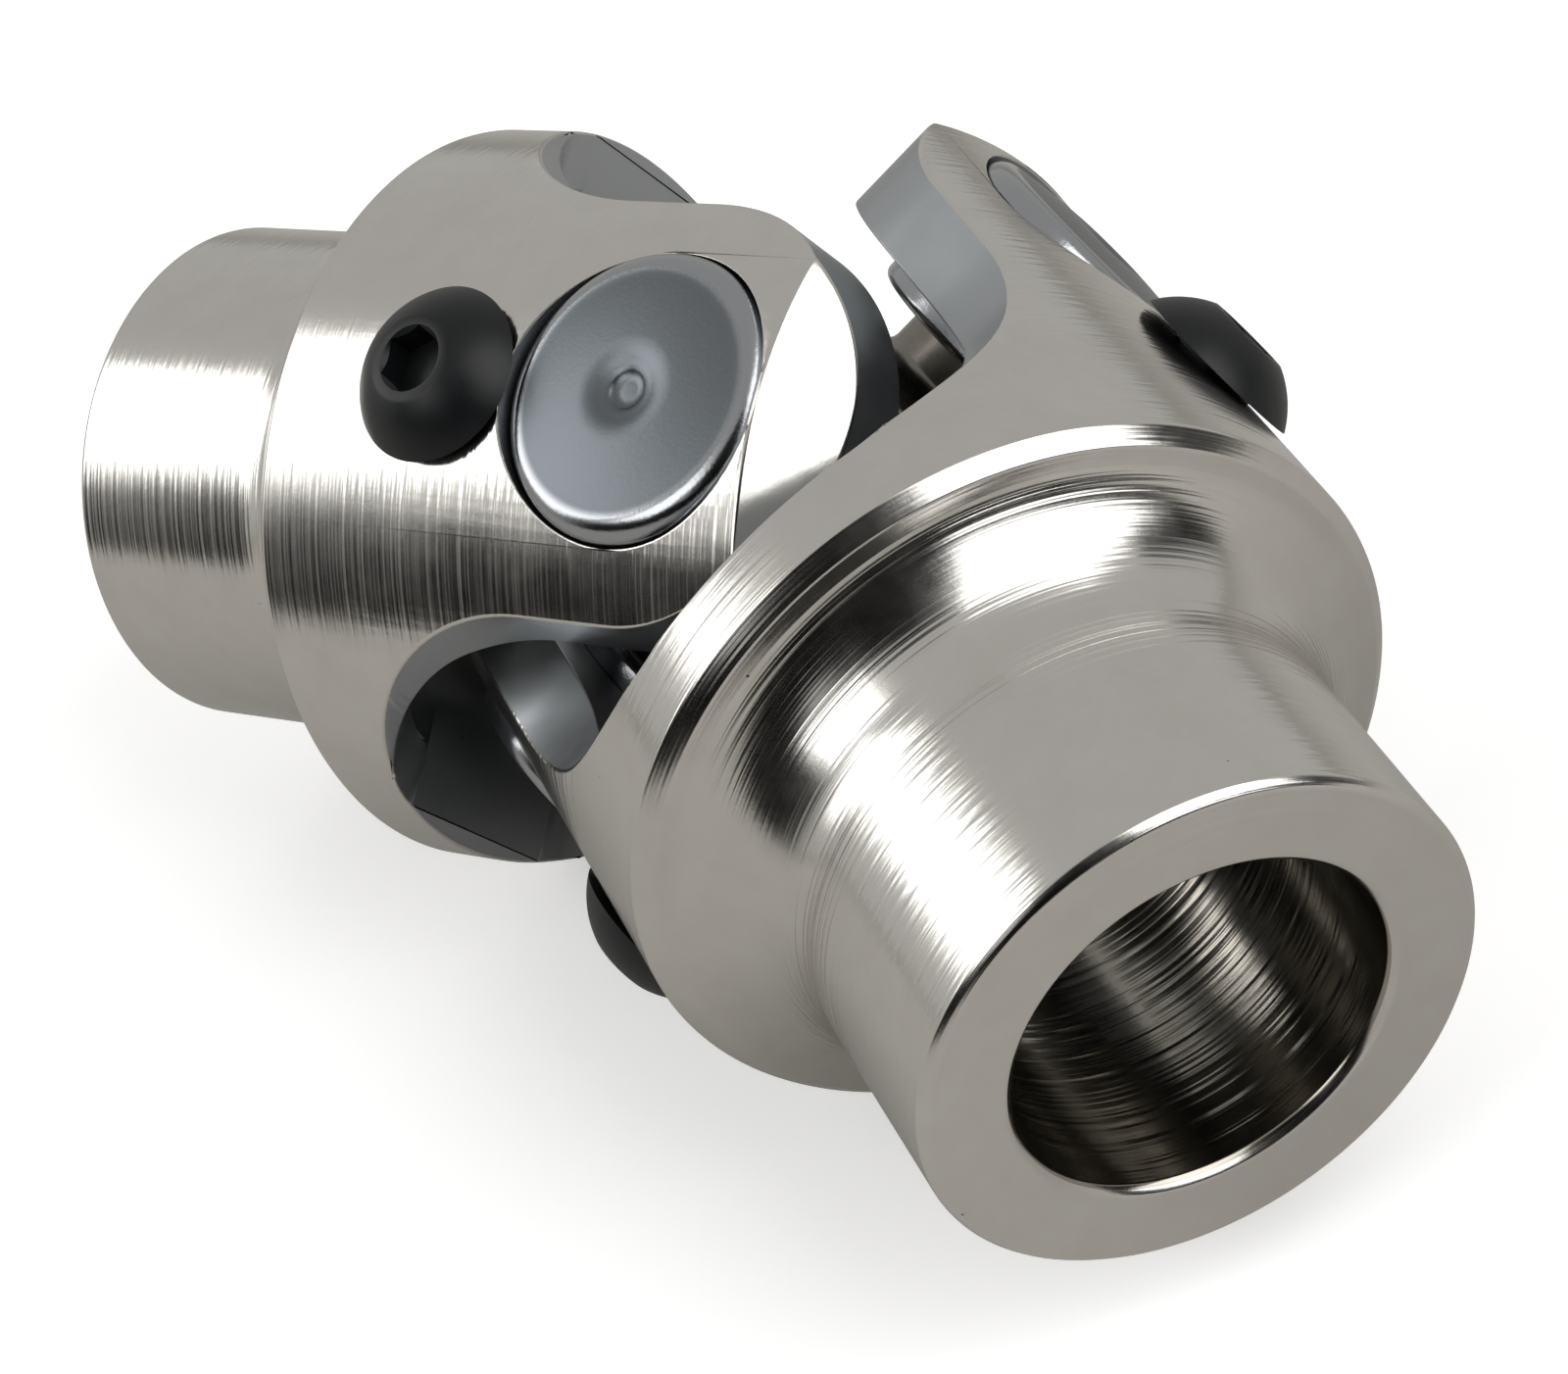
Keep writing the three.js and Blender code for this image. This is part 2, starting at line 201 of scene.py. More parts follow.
# %% Room
ROOM_GREY = linear("#C3C2C0")
ROOM_DARK = linear("#090908")
BACKDROP = linear("#FBFBFB")
BAND_TOP = (0.38, 0.46)          # how steeply up a ray points where the dark band fades out
BAND_SIDE = (-0.25, 0.15)        # how far a ray points towards the camera where it fades in
PERSON_AZIMUTH = 62
PERSON_ELEVATION = 38
PERSON_EDGE = (0.84, 0.93)       # cosine of the angle to the person, at the soft outline
room = bpy.data.worlds.new("studio_room")
room.use_nodes = True
bpy.context.scene.world = room
tree = room.node_tree
tree.nodes.clear()
way_out = add(tree, "ShaderNodeTexCoord").outputs["Generated"]
rise = add(tree, "ShaderNodeSeparateXYZ", {"Vector": way_out}).outputs["Z"]
low = add(tree, "ShaderNodeMapRange", {
    "Value": rise, "From Min": BAND_TOP[0], "From Max": BAND_TOP[1], "To Min": 1.0, "To Max": 0.0,
}, interpolation_type="SMOOTHSTEP").outputs["Result"]
toward = add(tree, "ShaderNodeVectorMath", {
    0: way_out, 1: Vector((to_camera.x, to_camera.y, 0)).normalized(),
}, operation="DOT_PRODUCT").outputs["Value"]
camera_side = add(tree, "ShaderNodeMapRange", {
    "Value": toward, "From Min": BAND_SIDE[0], "From Max": BAND_SIDE[1],
}, interpolation_type="SMOOTHSTEP").outputs["Result"]
band = add(tree, "ShaderNodeMath", {0: low, 1: camera_side}, operation="MULTIPLY").outputs[0]
to_person = add(tree, "ShaderNodeVectorMath", {
    0: way_out, 1: direction(math.radians(PERSON_AZIMUTH), math.radians(PERSON_ELEVATION)),
}, operation="DOT_PRODUCT").outputs["Value"]
person = add(tree, "ShaderNodeMapRange", {
    "Value": to_person, "From Min": PERSON_EDGE[0], "From Max": PERSON_EDGE[1],
}, interpolation_type="SMOOTHSTEP").outputs["Result"]
dark = add(tree, "ShaderNodeMath", {0: band, 1: person}, operation="MAXIMUM").outputs[0]
walls = add(tree, "ShaderNodeMix", {"Factor": dark, "A": ROOM_GREY, "B": ROOM_DARK},
            data_type="RGBA")
from_camera = add(tree, "ShaderNodeLightPath").outputs["Is Camera Ray"]
seen = add(tree, "ShaderNodeMix", {
    "Factor": from_camera, "A": live(walls.outputs, "Result"), "B": BACKDROP,
}, data_type="RGBA")
glow = add(tree, "ShaderNodeBackground", {"Color": live(seen.outputs, "Result")})
add(tree, "ShaderNodeOutputWorld", {"Surface": glow.outputs[0]})
print("room: grey walls, a dark band and a dark camera side")

# %% [markdown]
# ## The table
# A pale matt table. Mirrors of bright metal would show it as white as it is, but a real table top
# is darker under the object's own shadow, so rays that leave the metal see a greyer board. A
# little light of its own, for the camera only, stands for the lamps that wash out its shadow.

# %% Table
TABLE_HALF = 1.5                 # metres
TABLE_OWN_LIGHT = 0.32
board = bmesh.new()
bmesh.ops.create_grid(board, x_segments=1, y_segments=1, size=TABLE_HALF)
table_mesh = bpy.data.meshes.new("table")
board.to_mesh(table_mesh)
board.free()
table = bpy.data.objects.new("table", table_mesh)
bpy.context.scene.collection.objects.link(table)
paint, tree = new_material("matt_white_board")
ray = add(tree, "ShaderNodeLightPath").outputs
board_colour = add(tree, "ShaderNodeMix", {
    "Factor": ray["Is Glossy Ray"], "A": linear("#F8F8F8"), "B": linear("#BDBBB7"),
}, data_type="RGBA")
matt = add(tree, "ShaderNodeBsdfDiffuse", {"Color": live(board_colour.outputs, "Result")})
own_light = add(tree, "ShaderNodeMath", {
    0: ray["Is Camera Ray"], 1: TABLE_OWN_LIGHT,
}, operation="MULTIPLY")
fill = add(tree, "ShaderNodeEmission", {"Strength": own_light.outputs[0]})
lit = add(tree, "ShaderNodeAddShader", {0: matt.outputs[0], 1: fill.outputs[0]})
add(tree, "ShaderNodeOutputMaterial", {"Surface": lit.outputs[0]})
table_mesh.materials.append(paint)

# %% [markdown]
# ## The lathe, the mill and the finishing bench
# Four helpers follow the real trades. A lathe turns an outline about Z with one spin. A mill cuts
# one closed shape out of another, which is a boolean. A file breaks every sharp edge, which is a
# bevel: no real edge is perfectly sharp, and that thin bright line is what says machined metal.
# The last one sets a finished mesh in its place. It first writes each point's place in the
# piece's own straight frame on the mesh, so that a material can follow the lathe marks there.

# %% Workshop helpers
def arc(centre, radius, from_deg, to_deg, steps):
    """Points along a round corner of an outline."""
    turns = [math.radians(from_deg + (to_deg - from_deg) * i / steps) for i in range(steps + 1)]
    return [(centre[0] + radius * math.cos(t), centre[1] + radius * math.sin(t)) for t in turns]


def turned(outline, segments, closed=False):
    """Turns an outline of (radius, height) about Z. It ends on the axis or closes on itself."""
    bm = bmesh.new()
    points = [bm.verts.new((radius, 0, height)) for radius, height in outline]
    edges = [bm.edges.new(pair) for pair in zip(points, points[1:])]
    if closed:
        edges.append(bm.edges.new((points[-1], points[0])))
    bmesh.ops.spin(bm, geom=points + edges, axis=(0, 0, 1), cent=(0, 0, 0),
                   angle=2 * math.pi, steps=segments, use_merge=True, use_duplicate=False)
    bmesh.ops.remove_doubles(bm, verts=bm.verts, dist=1e-4)
    bmesh.ops.recalc_face_normals(bm, faces=bm.faces)
    return bm


def slab(outline, half_length):
    """An outline of (across, along) as a block that runs through the yoke along its cups."""
    bm = bmesh.new()
    points = [bm.verts.new((-half_length, across, along)) for across, along in outline]
    face = bm.faces.new(points)
    grown = bmesh.ops.extrude_face_region(bm, geom=[face])
    moved = [g for g in grown["geom"] if isinstance(g, bmesh.types.BMVert)]
    bmesh.ops.translate(bm, verts=moved, vec=(2 * half_length, 0, 0))
    bmesh.ops.recalc_face_normals(bm, faces=bm.faces)
    return bm


def bar(radius, half_length, segments, along=0.0):
    """A round bar through the yoke along its cups."""
    bm = bmesh.new()
    bmesh.ops.create_cone(bm, cap_ends=True, segments=segments, radius1=radius,
                          radius2=radius, depth=2 * half_length)
    bmesh.ops.transform(bm, matrix=on_cup_line(1, along), verts=bm.verts)
    return bm


def block(low, high):
    """A box between two corners."""
    bm = bmesh.new()
    size = Vector(high) - Vector(low)
    middle = (Vector(high) + Vector(low)) / 2
    place = Matrix.Translation(middle) @ Matrix.Diagonal((*size, 1))
    bmesh.ops.create_cube(bm, size=1.0, matrix=place)
    return bm


def as_object(name, bm):
    """Puts a mesh on the bench as an object of its own."""
    mesh = bpy.data.meshes.new(name)
    bm.to_mesh(mesh)
    bm.free()
    made = bpy.data.objects.new(name, mesh)
    bpy.context.scene.collection.objects.link(made)
    return made


def milled(bm, *cuts):
    """Cuts, keeps or joins other meshes, one after another, and gives the result."""
    work = as_object("work", bm)
    tools = [as_object("tool", tool) for _, tool in cuts]
    for (operation, _), tool in zip(cuts, tools):
        cut = work.modifiers.new("cut", "BOOLEAN")
        cut.operation = operation
        cut.solver = "EXACT"
        cut.object = tool
    result = bmesh.new()
    result.from_object(work, bpy.context.evaluated_depsgraph_get())
    for used in (work, *tools):
        mesh = used.data
        bpy.data.objects.remove(used)
        bpy.data.meshes.remove(mesh)
    return result


SLIVER = 0.02                    # mm, shorter edges are left over from the cuts


def break_edges(bm, width, sharper_than=25, segments=2):
    """Files a narrow round on every edge that is sharper than an angle in degrees."""
    bmesh.ops.remove_doubles(bm, verts=bm.verts, dist=SLIVER)
    bmesh.ops.dissolve_degenerate(bm, edges=bm.edges, dist=SLIVER)
    limit = math.radians(sharper_than)
    sharp = [e for e in bm.edges if len(e.link_faces) == 2 and e.calc_face_angle(0) > limit]
    bmesh.ops.bevel(bm, geom=sharp, offset=width, offset_type="OFFSET", affect="EDGES",
                    segments=segments, profile=0.5, material=-1, loop_slide=False,
                    clamp_overlap=False)
    return bm


body_of_node = {
    node: body
    for body, nodes in frame["record"]["behaviour"]["bodies"].items()
    for node in nodes
}


def fit_piece(node, bm, place, material, smooth_below=30):
    """Sets a finished mesh in its place, where it stands for a CAD node."""
    piece = as_object(f"{node}_fine", bm)
    mesh = piece.data
    drawn_at = mesh.attributes.new("drawn_at", "FLOAT_VECTOR", "POINT")
    drawn_at.data.foreach_set("vector", [c for v in mesh.vertices for c in v.co])
    mesh.transform(place)
    mesh.shade_smooth()
    mesh.set_sharp_from_angle(angle=math.radians(smooth_below))
    mesh.materials.append(material)
    # Large faces set the shading, so that the narrow filed edges don't streak it.
    even = piece.modifiers.new("even_shading", "WEIGHTED_NORMAL")
    even.keep_sharp = True
    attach(piece, body_of_node[node])
    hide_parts(node)
    print(piece.name, len(mesh.vertices), "points,", len(mesh.polygons), "faces")
    return piece


# %% [markdown]
# ## Bright nickel over turned steel
# The yokes are turned from bar on a lathe, milled to shape and plated. Nickel is a light, slightly
# warm grey metal, and where a milling cutter left it duller it looks cooler. The lathe leaves rings
# about the axis, so the marks depend on the distance along the axis and out from it, and on nothing
# else: a one-dimensional noise of that distance makes rings that run round hub, fillet, flange and
# face alike. The milled flats have no rings, so each face carries a number that says how it was
# cut. The bore was drilled and reamed: its rings are coarser, and it is painted a darker colour
# there, as painted shade for the shade that falls down the bore.

# %% Nickel
NICKEL = linear("#D6D4D0")
NICKEL_SHADE = linear("#C8C5BF")
MILLED = linear("#A9ADB0")
PIT_BROWN = linear("#4A4238")
BORE_PAINTED_SHADE = linear("#9C978E")    # painted shade: a darker colour down the bore, where shade falls
RING_PITCH = 0.40                # mm; the lathe's real feed is about half, too fine to show
RING_DEPTH = 2.2e-5              # metres
BORE_PITCH = 0.75
GRAIN = 0.12                     # mm, the milled flats' fine grain
SPECK_SPACING = 2.6              # mm between the cells that may hold a plating pit
PIT_EDGE = (0.020, 0.034)        # a pit's radius, as a share of that spacing, dark to clear
PIT_RARITY = 0.62                # share of cells without a pit
BORE_WALL = 9.7                  # mm from the axis, just past the bore's wall
BORE_MARKS = 2.5                 # how much deeper the bore's rings are
PATCH_SCALE = 0.35               # patches in a millimetre
GRAIN_DEPTH = 1.2e-6             # metres
PATCH_DEPTH = 12e-6


def drawn_point(tree):
    """Where a point was on the drawing, in millimetres: the point, its radius and its height."""
    point = add(tree, "ShaderNodeAttribute", attribute_name="drawn_at").outputs["Vector"]
    flat = add(tree, "ShaderNodeVectorMath", {0: point, 1: (1, 1, 0)}, operation="MULTIPLY")
    radius = add(tree, "ShaderNodeVectorMath", {0: flat.outputs[0]}, operation="LENGTH")
    along = add(tree, "ShaderNodeSeparateXYZ", {"Vector": point}).outputs["Z"]
    return point, radius.outputs["Value"], along


def plated_nickel():
    """Bright plate that shows the lathe's rings, and is duller and cooler where it was milled."""
    material, tree = new_material("bright_nickel_plate")
    point, radius, along = drawn_point(tree)
    is_turned = add(tree, "ShaderNodeAttribute", attribute_name="turned").outputs["Fac"]
    rings_at = add(tree, "ShaderNodeMath", {0: along, 1: radius}, operation="SUBTRACT")
    fine = add(tree, "ShaderNodeTexNoise", {
        "W": rings_at.outputs[0], "Scale": 1 / RING_PITCH, "Detail": 1.5, "Roughness": 0.6,
    }, noise_dimensions="1D")
    coarse = add(tree, "ShaderNodeTexNoise", {
        "W": along, "Scale": 1 / BORE_PITCH, "Detail": 2.0, "Roughness": 0.5,
    }, noise_dimensions="1D")
    in_bore = add(tree, "ShaderNodeMath", {0: radius, 1: BORE_WALL}, operation="LESS_THAN")
    bore_share = add(tree, "ShaderNodeMath", {
        0: in_bore.outputs[0], 1: BORE_MARKS,
    }, operation="MULTIPLY")
    both = add(tree, "ShaderNodeMath", {
        0: coarse.outputs["Fac"], 1: bore_share.outputs[0], 2: fine.outputs["Fac"],
    }, operation="MULTIPLY_ADD")
    rings = add(tree, "ShaderNodeMath", {0: both.outputs[0], 1: is_turned}, operation="MULTIPLY")
    grain = add(tree, "ShaderNodeTexNoise", {"Vector": point, "Scale": 1 / GRAIN, "Detail": 2.0})
    patches = add(tree, "ShaderNodeTexNoise", {
        "Vector": point, "Scale": PATCH_SCALE, "Detail": 4.0, "Roughness": 0.6,
    }).outputs["Fac"]
    ring_bump = add(tree, "ShaderNodeBump", {
        "Height": rings.outputs[0], "Strength": 1.0, "Distance": RING_DEPTH,
    })
    skin = add(tree, "ShaderNodeBump", {
        "Height": grain.outputs["Fac"], "Strength": 1.0, "Distance": GRAIN_DEPTH,
        "Normal": ring_bump.outputs[0],
    })
    wave = add(tree, "ShaderNodeBump", {
        "Height": patches, "Strength": 1.0, "Distance": PATCH_DEPTH, "Normal": skin.outputs[0],
    })
    pits = add(tree, "ShaderNodeTexVoronoi", {"Vector": point, "Scale": 1 / SPECK_SPACING})
    near_pit = add(tree, "ShaderNodeMapRange", {
        "Value": pits.outputs["Distance"],
        "From Min": PIT_EDGE[0], "From Max": PIT_EDGE[1], "To Min": 1.0, "To Max": 0.0,
    })
    some = add(tree, "ShaderNodeSeparateColor", {"Color": pits.outputs["Color"]})
    few = add(tree, "ShaderNodeMath", {
        0: some.outputs["Red"], 1: PIT_RARITY,
    }, operation="GREATER_THAN")
    pit = add(tree, "ShaderNodeMath", {
        0: near_pit.outputs["Result"], 1: few.outputs[0],
    }, operation="MULTIPLY")
    plate = add(tree, "ShaderNodeMix", {
        "Factor": patches, "A": NICKEL, "B": NICKEL_SHADE,
    }, data_type="RGBA")
    # Painted shade: down the bore the plate is painted a darker colour, standing in for the shade
    # there.
    with_painted_bore_shade = add(tree, "ShaderNodeMix", {
        "Factor": in_bore.outputs[0], "A": live(plate.outputs, "Result"), "B": BORE_PAINTED_SHADE,
    }, data_type="RGBA")
    by_cut = add(tree, "ShaderNodeMix", {
        "Factor": is_turned, "A": MILLED, "B": live(with_painted_bore_shade.outputs, "Result"),
    }, data_type="RGBA")
    spotted = add(tree, "ShaderNodeMix", {
        "Factor": pit.outputs[0], "A": live(by_cut.outputs, "Result"), "B": PIT_BROWN,
    }, data_type="RGBA")
    polish = add(tree, "ShaderNodeMapRange", {"Value": is_turned, "To Min": 0.34, "To Max": 0.16})
    smudge = add(tree, "ShaderNodeMapRange", {
        "Value": patches, "From Min": 0.3, "From Max": 0.7, "To Min": -0.02, "To Max": 0.05,
    })
    roughness = add(tree, "ShaderNodeMath", {
        0: polish.outputs["Result"], 1: smudge.outputs["Result"],
    }, operation="ADD")
    shader = add(tree, "ShaderNodeBsdfPrincipled", {
        "Base Color": live(spotted.outputs, "Result"), "Metallic": 1.0,
        "Roughness": roughness.outputs[0], "Normal": wave.outputs[0],
    })
    add(tree, "ShaderNodeOutputMaterial", {"Surface": shader.outputs[0]})
    return material


nickel = plated_nickel()

# %% [markdown]
# ## The other finishes
# The bearing cups are pressed from thin steel and hardened: a satin blue-grey on the flat that
# the press left, polished where the round rim was tumbled. The cross, rollers and washers are
# ground bearing steel under a film of grease. Black oxide on the screws is a thin, dark, slightly
# glossy film of iron oxide, so it is shaded as that film and not as bare metal. The lip seals are
# nitrile rubber.

# %% Steel, black oxide and rubber
PRESS_GRAIN = 0.22               # mm between the press's fine pits
PRESS_GRAIN_DEPTH = 9e-6         # m
CUP_FACE_EDGE = (6.1, 6.6)       # mm, between the flat face and the tumbled rim
MOTTLE_SCALE = 0.8
MOTTLE_REACH = 0.06


def cup_steel():
    """Satin on the flat, polished on the rim, by distance from the cup's own axis."""
    material, tree = new_material("hardened_pressed_steel")
    point, radius, _ = drawn_point(tree)
    grain = add(tree, "ShaderNodeTexNoise", {
        "Vector": point, "Scale": 1 / PRESS_GRAIN, "Detail": 3.0, "Roughness": 0.7,
    }).outputs["Fac"]
    rim = add(tree, "ShaderNodeMapRange", {
        "Value": radius, "From Min": CUP_FACE_EDGE[0], "From Max": CUP_FACE_EDGE[1],
    }, interpolation_type="SMOOTHSTEP").outputs["Result"]
    tone = add(tree, "ShaderNodeMix", {
        "Factor": rim, "A": linear("#6A6F73"), "B": linear("#A4A6A9"),
    }, data_type="RGBA")
    satin = add(tree, "ShaderNodeMapRange", {
        "Value": rim, "To Min": 0.36, "To Max": 0.17,
    }).outputs["Result"]
    skin = add(tree, "ShaderNodeBump", {
        "Height": grain, "Strength": 1.0, "Distance": PRESS_GRAIN_DEPTH,
    }).outputs["Normal"]
    shader = add(tree, "ShaderNodeBsdfPrincipled", {
        "Base Color": live(tone.outputs, "Result"), "Metallic": 1.0,
        "Roughness": satin, "Normal": skin,
    })
    add(tree, "ShaderNodeOutputMaterial", {"Surface": shader.outputs[0]})
    return material


def plain_finish(name, dark_hex, light_hex, metallic, roughness, ior, grain_mm, grain_depth):
    """A finish of one substance, mottled between two tones, with a fine grain."""
    material, tree = new_material(name)
    point, _, _ = drawn_point(tree)
    grain = add(tree, "ShaderNodeTexNoise", {
        "Vector": point, "Scale": 1 / grain_mm, "Detail": 3.0, "Roughness": 0.65,
    }).outputs["Fac"]
    mottle = add(tree, "ShaderNodeTexNoise", {"Vector": point, "Scale": MOTTLE_SCALE, "Detail": 2.0})
    tone = add(tree, "ShaderNodeMix", {
        "Factor": mottle.outputs["Fac"], "A": linear(dark_hex), "B": linear(light_hex),
    }, data_type="RGBA")
    spread = add(tree, "ShaderNodeMapRange", {
        "Value": mottle.outputs["Fac"],
        "To Min": roughness - MOTTLE_REACH, "To Max": roughness + MOTTLE_REACH,
    }).outputs["Result"]
    skin = add(tree, "ShaderNodeBump", {
        "Height": grain, "Strength": 1.0, "Distance": grain_depth,
    }).outputs["Normal"]
    shader = add(tree, "ShaderNodeBsdfPrincipled", {
        "Base Color": live(tone.outputs, "Result"), "Metallic": metallic,
        "Roughness": spread, "IOR": ior, "Normal": skin,
    })
    add(tree, "ShaderNodeOutputMaterial", {"Surface": shader.outputs[0]})
    return material


pressed_steel = cup_steel()
ground_steel = plain_finish("greased_ground_steel", "#77726A", "#8B8780", 1.0, 0.28, 1.5, 0.2, 2e-6)
black_oxide = plain_finish("black_oxide_film", "#06080A", "#0D1013", 0.0, 0.40, 1.38, 0.15, 4e-6)
nitrile = plain_finish("nitrile_rubber", "#101112", "#191A1B", 0.0, 0.6, 1.52, 0.2, 4e-6)
print("finishes:", [m.name for m in (nickel, pressed_steel, ground_steel, black_oxide, nitrile)])

# %% [markdown]
# ## The yokes
# A yoke starts as a turned blank: the flange, the concave fillet, the hub and the bore in one
# outline. Two passes of a side cutter then leave two ears and blend them into the flange, a slot
# with round corners opens the throat, a shallow dish in its floor makes room for the other yoke,
# and the cup and screw holes go through both ears. Both yokes are the same part, so one is made
# and used twice.

# %% The yoke's blank
INCH = 25.4
BORE_RADIUS = 0.75 * INCH / 2
BORE_CHAMFER = 0.45
BODY_RADIUS = 20.2
FLANGE_FACE = 22.9
FLANGE_CHAMFER = 0.8
FILLET_RADIUS = 7.0
FILLET_END = 29.4
HUB_RADIUS = 14.2
HUB_END = 41.5
HUB_CHAMFER = 0.4
TIP_CONE_START = 7.75
BLANK_START = 14.0               # the bar stands past the ears' round ends
BLANK_SEGMENTS = 192
BLANK_FILLET_STEPS = 20

fillet_reach = math.degrees(math.asin((FILLET_END - FLANGE_FACE) / FILLET_RADIUS))
blank_outline = [
    (0, -BLANK_START),
    (BODY_RADIUS + TIP_CONE_START - BLANK_START, -BLANK_START),
    (BODY_RADIUS, -TIP_CONE_START),
    (BODY_RADIUS, FLANGE_FACE - FLANGE_CHAMFER),
    (BODY_RADIUS - FLANGE_CHAMFER, FLANGE_FACE),
    *arc((HUB_RADIUS + FILLET_RADIUS, FILLET_END), FILLET_RADIUS,
         180 + fillet_reach, 180, BLANK_FILLET_STEPS),
    (HUB_RADIUS, HUB_END - HUB_CHAMFER),
    (HUB_RADIUS - HUB_CHAMFER, HUB_END),
    (BORE_RADIUS + BORE_CHAMFER, HUB_END),
    (BORE_RADIUS, HUB_END - BORE_CHAMFER),
    (BORE_RADIUS, 0),
    (0, 0),
]
blank = turned(blank_outline, BLANK_SEGMENTS)
print("blank:", len(blank.faces), "faces,", HUB_END + BLANK_START, "mm long")

# %% [markdown]
# ## Milling the yoke
# Seen along the cups, an ear is a round end about the cup, straight flanks and a large cutter's
# sweep into the flange. That outline, drawn once and mirrored, is kept and all else cut away.

# %% The yoke's cuts
EAR_HALF_WIDTH = 11.1
EAR_INNER = 12.83
SWEEP_RADIUS = 13.8
SWEEP_START = 5.5
SWEEP_TURN = 72
THROAT_FLOOR = 18.1
THROAT_CORNER = 7.0
DISH_RADIUS = 17.0
DISH_TOP_RADIUS = 13.0
DISH_FLOOR = 19.7
DISH_START = 15.0
DISH_HALF_WIDTH = 9.0
CUP_RADIUS = 7.55
CUP_GAP = 0.1
SCREW_AT = 11.8
SCREW_HOLE_RADIUS = 2.6
BEYOND = 30.0                    # mm, clear of everything that is cut
EDGE_BREAK = 0.14

tip = arc((0, 0), EAR_HALF_WIDTH, 270, 360, 40)
sweep = arc((EAR_HALF_WIDTH + SWEEP_RADIUS, SWEEP_START), SWEEP_RADIUS, 180, 180 - SWEEP_TURN, 32)
right_side = [*tip, *sweep, (BEYOND, sweep[-1][1]), (BEYOND, HUB_END + 1)]
left_side = [(-across, along) for across, along in reversed(right_side)]
kept_outline = right_side + left_side[:-1]
slot_corner = arc((EAR_INNER - THROAT_CORNER, THROAT_FLOOR - THROAT_CORNER), THROAT_CORNER, 0, 90, 24)
slot_right = [(EAR_INNER, -BEYOND), *slot_corner]
slot = slab(slot_right + [(-across, along) for across, along in reversed(slot_right)], BEYOND)
bmesh.ops.rotate(slot, verts=slot.verts, cent=(0, 0, 0), matrix=Matrix.Rotation(math.pi / 2, 3, "Z"))
dish = milled(
    turned([(0, 0), (DISH_RADIUS, 0), (DISH_RADIUS, THROAT_FLOOR), (DISH_TOP_RADIUS, DISH_FLOOR),
            (0, DISH_FLOOR)], BLANK_SEGMENTS),
    ("INTERSECT", block((-DISH_HALF_WIDTH, -BEYOND, DISH_START), (DISH_HALF_WIDTH, BEYOND, BEYOND))),
)

yoke_shape = milled(
    blank,
    ("INTERSECT", slab(kept_outline, BEYOND)),
    ("DIFFERENCE", slot),
    ("DIFFERENCE", dish),
    ("DIFFERENCE", bar(CUP_RADIUS + CUP_GAP, BEYOND, 128)),
    ("DIFFERENCE", bar(SCREW_HOLE_RADIUS, BEYOND, 48, SCREW_AT)),
)
yoke_shape = break_edges(yoke_shape, EDGE_BREAK)
print("yoke:", len(yoke_shape.faces), "faces after milling")


# %% [markdown]
# ## Which faces are turned
# A face is turned if it lies on the blank's own skin. The rings belong there and nowhere else.

# %% Fit both yokes
def is_on_blank(face):
    """True for the outside, the flange, the fillet, the hub and the bore."""
    middle = face.calc_center_median()
    radius = math.hypot(middle.x, middle.y)
    outside = abs(radius - BODY_RADIUS) < 0.15
    past_flange = middle.z > FLANGE_FACE - FLANGE_CHAMFER - 0.2
    in_bore = radius < BORE_RADIUS + 0.1 and middle.z > THROAT_FLOOR
    cone = middle.z < -TIP_CONE_START and abs(middle.x) > BODY_RADIUS - 4 and abs(face.normal.z) > 0.6
    return outside or past_flange or in_bore or cone


turned_faces = [float(is_on_blank(face)) for face in yoke_shape.faces]
for end in ("near", "far"):
    yoke = fit_piece(f"{end}_yoke", yoke_shape.copy(), seats[end], nickel)
    how_cut = yoke.data.attributes.new("turned", "FLOAT", "FACE")
    how_cut.data.foreach_set("value", turned_faces)
yoke_shape.free()

# %% [markdown]
# ## The bearing cups
# A cup is a thin round cap. Its outside face has a pressed dimple with a soft ring about it, and
# a large, tumbled rim. Inside, the floor stops the trunnion and the wall is the rollers' track.

# %% Cups
CUP_TOP = 19.95                  # edge of the end face, which is slightly domed
CUP_CROWN = 0.5
CUP_RIM_RADIUS = 1.25
CUP_MOUTH = 11.3
CUP_MOUTH_ROUND = 0.5
RACE_RADIUS = 6.55
CUP_FLOOR = 18.3
DIMPLE_RADIUS = 1.0
DIMPLE_DEPTH = 0.6
DIMPLE_RING = 2.2
DIMPLE_RING_DEPTH = 0.34
CUP_SEGMENTS = 128

